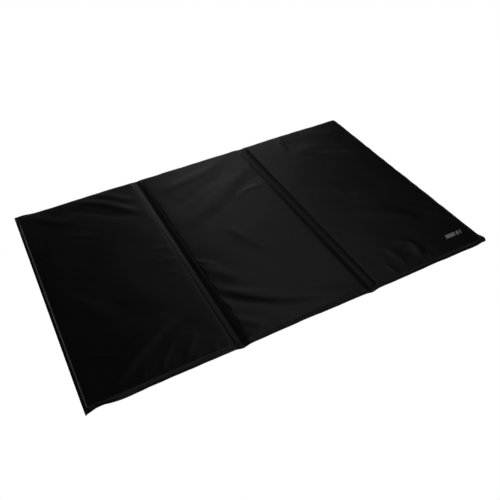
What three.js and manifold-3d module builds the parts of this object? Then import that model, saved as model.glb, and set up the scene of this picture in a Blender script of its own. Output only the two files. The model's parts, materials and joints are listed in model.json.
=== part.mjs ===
// Tri-fold gym mat: three foam panels in a sewn cover, joined by two flexible fold webs.
// Millimetres. The origin is on the floor under the middle of the mat. +X runs along the length,
// +Y to the back and +Z up. Panel 1 is at -X, panel 2 in the middle and panel 3 at +X.

import * as THREE from "three";
import { mergeVertices } from "three/addons/utils/BufferGeometryUtils.js";
import Module from "manifold-3d";

// ---------------------------------------------------------------- driving dimensions

const MAT_LENGTH = 1830; // over the sewn flange
const MAT_WIDTH = 1220;
const MAT_THICKNESS = 32; // to the top of the printed mark
const FLANGE = 15; // sewn border outside the foam
const FOLD_PITCH = 600; // between the two fold lines
const FOLD_VALLEY = 50; // foam to foam across a fold
const WEB = 34; // between the two hinge lines of a fold: one panel's thickness and a little slack
const SHEET = 0.8; // coated-fabric cover
const GAP = 0.3; // kept between pieces that touch
const MARK_FILM = 0.2;

const FOAM_CORNER = 14; // in plan
const FLANGE_CORNER = 12;
const EDGE_ROUND = 6; // where a cover turns down over the edge of its foam
const CORNER_STEPS = 4;
const EDGE_STEPS = 3;

const HINGE_CLEARANCE = 1.3; // each side of a hinge line
const THREAD = 0.8; // diameter
const THREAD_BEND = 14; // where a stitched row turns a corner
const BEND_STEPS = 5;
const FLANGE_STITCH_INSET = 6; // from the flange's outer edge
const WEB_STITCH_INSET = 5; // from each hinge line
const MARK = { x: 808, y: -512, length: 96, height: 22, lean: 9 };

// ---------------------------------------------------------------- levels and edges from them

const topSheetTop = MAT_THICKNESS - MARK_FILM - GAP;
const foamBottom = SHEET + GAP;
const foamTop = topSheetTop - SHEET - GAP;
const middle = topSheetTop / 2; // the plane where the top and bottom plies meet
const farX = MAT_LENGTH / 2;
const farY = MAT_WIDTH / 2;
const foamFarX = farX - FLANGE;
const foamFarY = farY - FLANGE;
const foldX = FOLD_PITCH / 2;

const wasm = await Module();
wasm.setup();

// ---------------------------------------------------------------- finishes

const finishes = {
  cover: { color: 0x0d0d0e, roughness: 0.48 },
  foam: { color: 0xc9c5b4, roughness: 0.95 },
  thread: { color: 0x101011, roughness: 0.8 },
  print: { color: 0xd9d9d6, roughness: 0.5 },
};

// ---------------------------------------------------------------- solids

function toSolid(geometry) {
  const bare = geometry.clone();
  for (const name of ["normal", "uv"]) bare.deleteAttribute(name);
  const merged = mergeVertices(bare, 1e-4);
  const mesh = new wasm.Mesh({
    numProp: 3,
    vertProperties: new Float32Array(merged.attributes.position.array),
    triVerts: new Uint32Array(merged.index.array),
  });
  return new wasm.Manifold(mesh);
}

function toGeometry(solid) {
  const mesh = solid.getMesh();
  const geometry = new THREE.BufferGeometry();
  geometry.setAttribute("position", new THREE.BufferAttribute(new Float32Array(mesh.vertProperties), 3));
  geometry.setIndex(new THREE.BufferAttribute(new Uint32Array(mesh.triVerts), 1));
  const flat = geometry.toNonIndexed();
  flat.computeVertexNormals();
  return flat;
}

function makeMesh(name, finish, geometry) {
  const material = new THREE.MeshStandardMaterial({ ...finishes[finish], metalness: 0 });
  const mesh = new THREE.Mesh(geometry, material);
  mesh.name = name;
  return mesh;
}

// A rectangle given by its edges. left and right are the corner radii at those ends.
function outline({ x0, x1, y0, y1 }, left, right) {
  const shape = new THREE.Shape();
  shape.moveTo(x0 + left, y0);
  shape.lineTo(x1 - right, y0);
  if (right > 0) shape.absarc(x1 - right, y0 + right, right, -Math.PI / 2, 0, false);
  shape.lineTo(x1, y1 - right);
  if (right > 0) shape.absarc(x1 - right, y1 - right, right, 0, Math.PI / 2, false);
  shape.lineTo(x0 + left, y1);
  if (left > 0) shape.absarc(x0 + left, y1 - left, left, Math.PI / 2, Math.PI, false);
  shape.lineTo(x0, y0 + left);
  if (left > 0) shape.absarc(x0 + left, y0 + left, left, Math.PI, Math.PI * 1.5, false);
  return shape;
}

const grown = ({ x0, x1, y0, y1 }, by) => ({ x0: x0 - by, x1: x1 + by, y0: y0 - by, y1: y1 + by });

function plate(shape, z0, z1) {
  const settings = { depth: z1 - z0, bevelEnabled: false, curveSegments: CORNER_STEPS };
  return new THREE.ExtrudeGeometry(shape, settings).translate(0, 0, z0);
}

// A slab whose corners are round in plan and whose top and bottom edges are round in section.
function pillow(edges, corner, round, z0, z1) {
  const shape = outline(grown(edges, -round), corner - round, corner - round);
  const settings = {
    depth: z1 - z0 - 2 * round,
    bevelThickness: round,
    bevelSize: round,
    bevelSegments: EDGE_STEPS,
    curveSegments: CORNER_STEPS,
  };
  return new THREE.ExtrudeGeometry(shape, settings).translate(0, 0, z0 + round);
}

// ---------------------------------------------------------------- panels

// Each panel's foam edges, its flange edges, and which of its ends are on the outside of the mat.
const foldEdge = FOLD_VALLEY / 2;
const foldFlange = WEB / 2 + HINGE_CLEARANCE;
const panels = [
  { foam: [-foamFarX, -foldX - foldEdge], flange: [-farX, -foldX - foldFlange], leftEnd: true },
  { foam: [-foldX + foldEdge, foldX - foldEdge], flange: [-foldX + foldFlange, foldX - foldFlange] },
  { foam: [foldX + foldEdge, foamFarX], flange: [foldX + foldFlange, farX], rightEnd: true },
].map((panel) => ({
  ...panel,
  foam: { x0: panel.foam[0], x1: panel.foam[1], y0: -foamFarY, y1: foamFarY },
  flange: { x0: panel.flange[0], x1: panel.flange[1], y0: -farY, y1: farY },
}));

const foamCore = (panel) => pillow(panel.foam, FOAM_CORNER, EDGE_ROUND - SHEET, foamBottom, foamTop);

// The top or bottom half of a panel's cover: a tray over the foam with one ply of the flange.
function coverHalf(panel, isTop) {
  const outer = toSolid(
    pillow(grown(panel.foam, GAP + SHEET), FOAM_CORNER + GAP + SHEET, EDGE_ROUND + SHEET, 0, topSheetTop),
  );
  const inner = toSolid(
    pillow(grown(panel.foam, GAP), FOAM_CORNER + GAP, EDGE_ROUND, SHEET, topSheetTop - SHEET),
  );
  const [left, right] = [panel.leftEnd ? FLANGE_CORNER : 0, panel.rightEnd ? FLANGE_CORNER : 0];
  const border = outline(panel.flange, left, right);
  const ply = middle + GAP / 2;
  const [low, high] = isTop ? [ply, ply + SHEET] : [middle - GAP / 2 - SHEET, middle - GAP / 2];
  const flange = toSolid(plate(border, low, high));
  const [keepLow, keepHigh] = isTop ? [low, MAT_THICKNESS] : [-SHEET, high];
  const half = toSolid(plate(outline(grown(panel.flange, FLANGE), 0, 0), keepLow, keepHigh));
  return toGeometry(outer.add(flange).intersect(half).subtract(inner));
}

// ---------------------------------------------------------------- fold webs

function webPly(fold, isTop) {
  const reach = WEB / 2 - HINGE_CLEARANCE;
  const shape = outline({ x0: fold - reach, x1: fold + reach, y0: -farY, y1: farY }, 0, 0);
  const low = isTop ? middle + GAP / 2 : middle - GAP / 2 - SHEET;
  return plate(shape, low, low + SHEET);
}

// ---------------------------------------------------------------- threads

// The needle thread lies on the top ply, and the bobbin thread under the bottom ply.
const threadLevel = (isNeedle) => middle + (isNeedle ? 1 : -1) * (GAP / 2 + SHEET + GAP + THREAD / 2);

// A path with one step per point, so that a straight stretch takes a single step.
class StepPath extends THREE.Curve {
  constructor(points) {
    super();
    this.points = points;
  }
  getPoint(t) {
    const place = t * (this.points.length - 1);
    const i = Math.min(Math.max(Math.floor(place), 0), this.points.length - 2);
    return this.points[i].clone().lerp(this.points[i + 1], place - i);
  }
  getPointAt(t) {
    return this.getPoint(t);
  }
  getTangentAt(t) {
    return this.getTangent(t);
  }
}

// A round strand through the given corners, each rounded by a curve of a few steps.
function thread(corners, isNeedle) {
  const at = corners.map(([x, y]) => new THREE.Vector3(x, y, threadLevel(isNeedle)));
  const along = at.slice(1).map((point, i) => point.clone().sub(at[i]).normalize());
  const points = [at[0]];
  for (let i = 1; i < at.length - 1; i++) {
    const into = at[i].clone().addScaledVector(along[i - 1], -THREAD_BEND);
    const out = at[i].clone().addScaledVector(along[i], THREAD_BEND);
    points.push(...new THREE.QuadraticBezierCurve3(into, at[i], out).getPoints(BEND_STEPS));
  }
  points.push(at[at.length - 1]);
  const section = new THREE.Shape().absarc(0, 0, THREAD / 2, 0, Math.PI * 2, false);
  const settings = { extrudePath: new StepPath(points), steps: points.length - 1, bevelEnabled: false };
  return new THREE.ExtrudeGeometry(section, { ...settings, curveSegments: 3 });
}

// ---------------------------------------------------------------- printed mark

// A plain leaning bar: a generic shape with no lettering.
function printedMark() {
  const { x, y, length, height, lean } = MARK;
  const shape = new THREE.Shape();
  shape.moveTo(x - length / 2, y - height / 2);
  shape.lineTo(x + length / 2 - lean, y - height / 2);
  shape.lineTo(x + length / 2, y + height / 2);
  shape.lineTo(x - length / 2 + lean, y + height / 2);
  return plate(shape, topSheetTop + GAP, MAT_THICKNESS);
}

// ---------------------------------------------------------------- assembly

const group = new THREE.Group();

panels.forEach((panel, i) => {
  const n = i + 1;
  group.add(makeMesh(`foam_core_${n}`, "foam", foamCore(panel)));
  group.add(makeMesh(`top_cover_${n}`, "cover", coverHalf(panel, true)));
  group.add(makeMesh(`bottom_cover_${n}`, "cover", coverHalf(panel, false)));
});

const stitchX = farX - FLANGE_STITCH_INSET;
const stitchY = farY - FLANGE_STITCH_INSET;
const innerX = foldX + foldFlange + HINGE_CLEARANCE;
const outerX = foldX - foldFlange - HINGE_CLEARANCE;

for (const [kind, isNeedle] of [["needle", true], ["bobbin", false]]) {
  for (const [n, side] of [[1, -1], [3, 1]]) {
    const around = [
      [side * innerX, -stitchY],
      [side * stitchX, -stitchY],
      [side * stitchX, stitchY],
      [side * innerX, stitchY],
    ];
    group.add(makeMesh(`flange_${kind}_thread_${n}`, "thread", thread(around, isNeedle)));
  }
  for (const [place, y] of [["front", -stitchY], ["back", stitchY]]) {
    const straight = [[-outerX, y], [outerX, y]];
    group.add(makeMesh(`flange_${kind}_thread_2_${place}`, "thread", thread(straight, isNeedle)));
  }
}

for (const [n, fold] of [[1, -foldX], [2, foldX]]) {
  group.add(makeMesh(`top_fold_web_${n}`, "cover", webPly(fold, true)));
  group.add(makeMesh(`bottom_fold_web_${n}`, "cover", webPly(fold, false)));
  for (const [place, side] of [["left", -1], ["right", 1]]) {
    const x = fold + side * (WEB / 2 - WEB_STITCH_INSET);
    const row = [[x, -stitchY], [x, stitchY]];
    group.add(makeMesh(`fold_${n}_${place}_needle_thread`, "thread", thread(row, true)));
    group.add(makeMesh(`fold_${n}_${place}_bobbin_thread`, "thread", thread(row, false)));
  }
}

group.add(makeMesh("printed_mark", "print", printedMark()));

export default group;
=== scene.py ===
"""Folding gym mat: the sewn cover, foam, stitching and print over the CAD frame.

Three foam slabs lie in one cover of smooth coated fabric. The cover's top and bottom sheets meet at
mid-height in a flat stitched flange, and two stitched webs join the panels. Everything is in metres,
in the row frame: +X along the mat, +Y to its back and +Z up.
"""

import json
import logging
import math
from dataclasses import dataclass, field
from enum import Enum

import bpy
import numpy as np
from mathutils import Matrix, Vector


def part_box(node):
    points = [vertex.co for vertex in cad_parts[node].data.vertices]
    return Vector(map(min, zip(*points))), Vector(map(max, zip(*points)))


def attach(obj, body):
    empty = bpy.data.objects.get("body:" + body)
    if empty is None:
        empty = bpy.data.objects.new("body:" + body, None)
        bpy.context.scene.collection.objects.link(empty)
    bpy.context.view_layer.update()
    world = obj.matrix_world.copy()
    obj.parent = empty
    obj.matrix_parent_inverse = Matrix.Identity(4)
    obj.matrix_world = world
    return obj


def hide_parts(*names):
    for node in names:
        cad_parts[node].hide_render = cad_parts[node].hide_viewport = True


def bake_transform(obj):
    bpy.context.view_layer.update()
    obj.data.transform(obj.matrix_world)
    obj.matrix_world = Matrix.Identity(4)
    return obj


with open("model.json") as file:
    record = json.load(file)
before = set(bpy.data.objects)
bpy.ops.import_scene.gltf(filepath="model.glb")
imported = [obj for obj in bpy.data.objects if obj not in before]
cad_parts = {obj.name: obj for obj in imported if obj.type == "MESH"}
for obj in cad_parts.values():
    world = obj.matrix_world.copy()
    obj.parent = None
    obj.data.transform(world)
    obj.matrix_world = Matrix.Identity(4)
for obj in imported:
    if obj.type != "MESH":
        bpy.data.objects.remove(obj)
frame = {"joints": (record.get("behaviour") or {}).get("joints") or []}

log = logging.getLogger("folding_mat")

MM = 0.001
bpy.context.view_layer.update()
Grid = np.ndarray
Piece = bpy.types.Object
Material = bpy.types.Material
Tree = bpy.types.NodeTree
Node = bpy.types.Node
Socket = bpy.types.NodeSocket
Colour = tuple[float, float, float]

SLOW_SEED, QUICK_SEED, SLACK_SEED, EDGE_SEED = 11, 12, 31, 40


# ---- plan


class Side(Enum):
    """Which sheet of the cover a piece belongs to, as the sign of its outward direction."""

    TOP = 1
    BOTTOM = -1

    @property
    def word(self) -> str:
        """The side's name in piece and node names."""
        return self.name.lower()


class Edge(Enum):
    """An outer edge of the mat."""

    FRONT = "front"
    BACK = "back"
    LEFT = "left"
    RIGHT = "right"


@dataclass(frozen=True)
class Panel:
    """One panel: the edges of its foam, and where its cover ends along the mat."""

    number: int
    x0: float
    x1: float
    y0: float
    y1: float
    cover_x0: float
    cover_x1: float

    @property
    def body(self) -> str:
        """The CAD body that carries the panel."""
        return f"panel_{self.number}"


@dataclass(frozen=True)
class Fold:
    """A fold web between two panels."""

    number: int
    x: float
    left: str
    right: str

    @property
    def body(self) -> str:
        """The CAD body that carries the middle of the web."""
        return f"fold_web_{self.number}"


@dataclass(frozen=True)
class MatPlan:
    """The mat's edges and levels, all read from the CAD frame."""

    panels: tuple[Panel, ...]
    folds: tuple[Fold, ...]
    far_x: float
    far_y: float
    top: float
    middle: float

    @classmethod
    def from_frame(cls) -> "MatPlan":
        """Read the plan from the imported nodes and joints.

        Returns:
            The plan of the whole mat.
        """
        panels = []
        for number in (1, 2, 3):
            foam_low, foam_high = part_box(f"foam_core_{number}")
            low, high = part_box(f"top_cover_{number}")
            panels.append(
                Panel(number, foam_low.x, foam_high.x, foam_low.y, foam_high.y, low.x, high.x)
            )
        folds = []
        for number, (left, right) in enumerate(zip(panels, panels[1:]), start=1):
            centre = (left.cover_x1 + right.cover_x0) / 2
            folds.append(Fold(number, centre, left.body, right.body))
        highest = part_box("top_cover_2")[1]
        pivot = joint_named("fold_1")["pos_m"][2]
        return cls(
            tuple(panels),
            tuple(folds),
            max(abs(panels[0].cover_x0), panels[-1].cover_x1),
            highest.y,
            highest.z,
            pivot,
        )


def joint_named(name: str) -> dict:
    """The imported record's joint of that name."""
    return next(joint for joint in frame["joints"] if joint["name"] == name)


# ---- numbers on grids


def smoothstep(value: Grid, start: float, end: float) -> Grid:
    """Ease from 0 at start to 1 at end: 3t squared minus 2t cubed.

    Args:
        value: Numbers to ease.
        start: Where the result leaves 0.
        end: Where the result reaches 1.

    Returns:
        Numbers from 0 to 1.
    """
    t = np.clip((value - start) / (end - start), 0, 1)
    return t * t * (3 - 2 * t)


def graded(low: float, high: float, fine: float, coarse: float, band: float) -> Grid:
    """Grid lines from low to high, close together near both ends and wider in the middle.

    The spacing grows smoothly from fine to coarse over the band next to each end. The lines are
    the even steps of the running sum of one over the spacing.

    Args:
        low: First line.
        high: Last line.
        fine: Spacing at the ends.
        coarse: Spacing in the middle.
        band: Width of the close lines next to each end.

    Returns:
        The places of the lines.
    """
    dense = np.linspace(low, high, 4000)
    inside = np.minimum(dense - low, high - dense)
    spacing = fine + (coarse - fine) * smoothstep(inside, band * 0.5, band * 2.0)
    count = np.concatenate([[0], np.cumsum(np.diff(dense) / spacing[:-1])])
    lines = max(int(round(count[-1])), 2)
    return np.interp(np.linspace(0, count[-1], lines + 1), count, dense)


def smooth_path(points: Grid, steps: int) -> Grid:
    """Points evenly spaced in parameter on a Catmull-Rom curve through the given points.

    Args:
        points: Two or more places, one per row.
        steps: Steps between neighbouring places.

    Returns:
        The curve's points, one per row.
    """
    ends = np.vstack([2 * points[0] - points[1], points, 2 * points[-1] - points[-2]])
    t = np.linspace(0, 1, steps, endpoint=False)[:, None, None]
    a, b, c, d = ends[:-3], ends[1:-2], ends[2:-1], ends[3:]
    curve = 0.5 * (
        2 * b + (c - a) * t + (2 * a - 5 * b + 4 * c - d) * t**2 + (3 * b - a - 3 * c + d) * t**3
    )
    return np.vstack([curve.transpose(1, 0, 2).reshape(-1, points.shape[1]), points[-1]])


def ripple(place: Grid, wavelength: float, seed: int, waves: int = 9) -> Grid:
    """A smooth random wave along a line: a sum of cosines of nearby wavelengths.

    Args:
        place: Distance along the line.
        wavelength: The middle wavelength.
        seed: Fixes the wave.
        waves: How many cosines are summed.

    Returns:
        Heights of about minus 1 to 1.
    """
    random = np.random.default_rng(seed)
    rates = 2 * math.pi / (wavelength * random.uniform(0.55, 1.9, waves))
    phases = random.uniform(0, 2 * math.pi, waves)
    return np.cos(place[..., None] * rates + phases).sum(-1) / math.sqrt(waves)


def undulation(x: Grid, y: Grid, wavelength: float, seed: int, waves: int = 14) -> Grid:
    """A smooth random surface: a sum of plane waves in random directions.

    Args:
        x: Places along the mat.
        y: Places across the mat.
        wavelength: The middle wavelength.
        seed: Fixes the surface.
        waves: How many plane waves are summed.

    Returns:
        Heights of about minus 1 to 1.
    """
    random = np.random.default_rng(seed)
    total = np.zeros_like(x)
    for _ in range(waves):
        heading = random.uniform(0, math.pi)
        rate = 2 * math.pi / (wavelength * random.uniform(0.6, 1.8))
        along = x * math.cos(heading) + y * math.sin(heading)
        total += np.cos(along * rate + random.uniform(0, 2 * math.pi))
    return total / math.sqrt(waves)


# ---- wrinkles


@dataclass(frozen=True)
class Ridge:
    """A soft fold in the cover's top sheet, or a hollow where its height is negative.

    Its path, spread and height are in millimetres.
    """

    path: tuple[tuple[float, float], ...]
    spread: float
    height: float

    def relief(self, x: Grid, y: Grid) -> Grid:
        """Height of the ridge: a bell across its path, fading towards both ends.

        Args:
            x: Places along the mat.
            y: Places across the mat.

        Returns:
            Heights in metres.
        """
        path = smooth_path(np.array(self.path, float) * MM, 5)
        spread = self.spread * MM
        result = np.zeros_like(x)
        low, high = path.min(0) - 3 * spread, path.max(0) + 3 * spread
        near = (x > low[0]) & (x < high[0]) & (y > low[1]) & (y < high[1])
        if not near.any():
            return result
        place = np.stack([x[near], y[near]], -1)
        start, step = path[:-1], np.diff(path, axis=0)
        length = np.linalg.norm(step, axis=1)
        away = place[:, None] - start
        t = np.clip((away * step).sum(-1) / length**2, 0, 1)
        distance = np.linalg.norm(away - t[..., None] * step, axis=-1)
        nearest = distance.argmin(1)
        rows = np.arange(len(place))
        gone = np.concatenate([[0], np.cumsum(length)])
        share = (gone[nearest] + t[rows, nearest] * length[nearest]) / gone[-1]
        fade = smoothstep(share, -0.02, 0.3) * smoothstep(1 - share, -0.02, 0.3)
        bell = np.exp(-((distance[rows, nearest] / spread) ** 2))
        result[near] = self.height * MM * bell * fade
        return result


LEFT_PANEL_RIDGES = (
    Ridge(((-640, 590), (-545, 525), (-475, 462), (-422, 402), (-350, 330)), 21, 3.4),
    Ridge(((-870, 580), (-800, 522), (-725, 452), (-640, 420)), 30, 2.4),
    Ridge(((-560, 600), (-470, 545), (-400, 480), (-330, 440)), 22, 1.8),
    Ridge(((-755, 352), (-680, 316), (-590, 258)), 12, 0.9),
    Ridge(((-820, -30), (-752, -152), (-676, -262)), 32, 1.4),
    Ridge(((-905, -312), (-850, -356), (-790, -402), (-735, -428)), 9, 1.2),
    Ridge(((-420, -326), (-520, -376), (-600, -420), (-678, -472), (-755, -527), (-835, -585)), 17, 2.9),
    Ridge(((-470, -300), (-580, -352), (-700, -410)), 15, 1.7),
    Ridge(((-515, -462), (-575, -520), (-628, -592)), 10, 1.6),
    Ridge(((-420, -455), (-470, -510), (-530, -590)), 11, 1.2),
    Ridge(((-662, -540), (-690, -572), (-716, -600)), 9, 1.2),
    Ridge(((-450, -28), (-372, -36), (-318, -50)), 9, 0.9),
    Ridge(((-430, 60), (-370, 50), (-318, 30)), 10, 0.7),
    Ridge(((-420, -110), (-365, -120), (-318, -140)), 9, 0.6),
    Ridge(((-720, 565), (-610, 480), (-520, 410), (-440, 352), (-350, 285)), 24, -1.6),
    Ridge(((-450, -400), (-560, -450), (-680, -520), (-780, -590)), 16, -1.2),
)
MIDDLE_PANEL_RIDGES = (
    Ridge(
        ((-310, -240), (-238, -322), (-167, -386), (-50, -467), (61, -518), (190, -560), (285, -588)),
        24,
        4.6,
    ),
    Ridge(((-285, -120), (-218, -212), (-158, -285), (-118, -312)), 30, 3.0),
    Ridge(((262, 500), (190, 385), (105, 328), (0, 262), (-145, 168), (-270, 132)), 38, 3.7),
    Ridge(((170, 600), (80, 512), (-40, 476), (-130, 462), (-260, 425)), 30, 3.2),
    Ridge(((280, 232), (215, 250), (128, 242), (50, 178)), 17, 2.2),
    Ridge(((275, 330), (255, 380), (250, 440)), 11, 1.5),
    Ridge(((-56, 50), (-18, -58), (24, -158), (74, -240)), 28, 2.3),
    Ridge(((-292, -470), (-230, -520), (-170, -570)), 20, 2.4),
    Ridge(((-292, -345), (-262, -395), (-250, -440)), 12, 1.6),
    Ridge(((-290, -90), (-235, -135), (-190, -190)), 13, 1.3),
    Ridge(((-300, -300), (-238, -375), (-167, -440), (-60, -520), (60, -575)), 22, -2.2),
    Ridge(((230, 580), (100, 430), (-30, 375), (-140, 318), (-265, 275)), 28, -1.8),
    Ridge(((285, 395), (190, 300), (60, 215), (-60, 150), (-200, 60)), 34, -1.6),
)
RIGHT_PANEL_RIDGES = (
    Ridge(((500, 415), (590, 412), (715, 350), (820, 292), (912, 252)), 36, 3.4),
    Ridge(((520, 585), (503, 510), (498, 430)), 20, 2.4),
    Ridge(((640, 560), (760, 500), (860, 450)), 34, 2.2),
    Ridge(((540, -38), (660, -40), (745, -42)), 13, 1.2),
    Ridge(((430, 90), (520, 60), (600, 10)), 26, 1.3),
    Ridge(((500, -172), (602, -214), (697, -288), (756, -385)), 30, 2.3),
    Ridge(((535, -435), (598, -452), (612, -508), (586, -565)), 17, 3.4),
    Ridge(((480, -430), (505, -500), (500, -570)), 14, 1.6),
    Ridge(((428, -520), (434, -556), (440, -592)), 10, 1.9),
    Ridge(((628, -552), (634, -596)), 8, 1.4),
    Ridge(((520, 365), (620, 345), (730, 285), (840, 232), (910, 205)), 26, -1.8),
    Ridge(((525, -480), (560, -505), (570, -540)), 16, -1.4),
)


@dataclass(frozen=True)
class Wrinkles:
    """The top sheet's relief: its named folds, a slow undulation and puckers along the seams."""

    ridges: tuple[Ridge, ...] = LEFT_PANEL_RIDGES + MIDDLE_PANEL_RIDGES + RIGHT_PANEL_RIDGES
    slow: float = 0.5 * MM
    quick: float = 0.12 * MM
    pucker: float = 0.38 * MM
    pucker_reach: float = 22 * MM
    slow_length: float = 0.26
    quick_length: float = 0.075
    pucker_length: float = 0.055

    def relief(self, x: Grid, y: Grid) -> Grid:
        """The sum of the folds and the undulation, in metres above the flat sheet."""
        total = self.slow * undulation(x, y, self.slow_length, SLOW_SEED)
        total = total + self.quick * undulation(x, y, self.quick_length, QUICK_SEED)
        for ridge in self.ridges:
            total += ridge.relief(x, y)
        return total

    def puckers(self, x: Grid, y: Grid, panel: Panel) -> Grid:
        """Short gathers that run in from the seams of one panel.

        Each seam's gathers are a random wave along it, times a fall-off away from it.

        Args:
            x: Places along the mat.
            y: Places across the mat.
            panel: The panel whose seams gather.

        Returns:
            Heights in metres.
        """
        total = np.zeros_like(x)
        for index, (along, across) in enumerate(
            ((x, y - panel.y0), (x, panel.y1 - y), (y, x - panel.x0), (y, panel.x1 - x))
        ):
            wave = ripple(along, self.pucker_length, 10 * panel.number + index)
            total += wave * np.exp(-np.maximum(across, 0) / self.pucker_reach)
        return self.pucker * total


# ---- the cover's form


@dataclass(frozen=True)
class Curl:
    """A stretch of the flange that lifts or droops. Its place, spread and lift are in millimetres."""

    edge: Edge
    at: float
    spread: float
    lift: float


CURLS = (
    Curl(Edge.FRONT, -858, 34, 15),
    Curl(Edge.FRONT, -770, 50, -1.5),
    Curl(Edge.LEFT, -604, 22, -8),
    Curl(Edge.LEFT, 596, 34, 9),
    Curl(Edge.BACK, -885, 45, 8),
    Curl(Edge.RIGHT, -590, 26, 10),
    Curl(Edge.FRONT, 892, 22, 8),
    Curl(Edge.FRONT, -560, 110, 1.5),
    Curl(Edge.FRONT, -60, 120, 3.0),
    Curl(Edge.FRONT, 190, 60, -1.5),
    Curl(Edge.FRONT, 640, 120, 3.0),
    Curl(Edge.BACK, -500, 150, 1.5),
    Curl(Edge.BACK, 560, 120, 2),
    Curl(Edge.LEFT, 200, 200, 1.5),
    Curl(Edge.RIGHT, 150, 200, -1.5),
)


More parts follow.
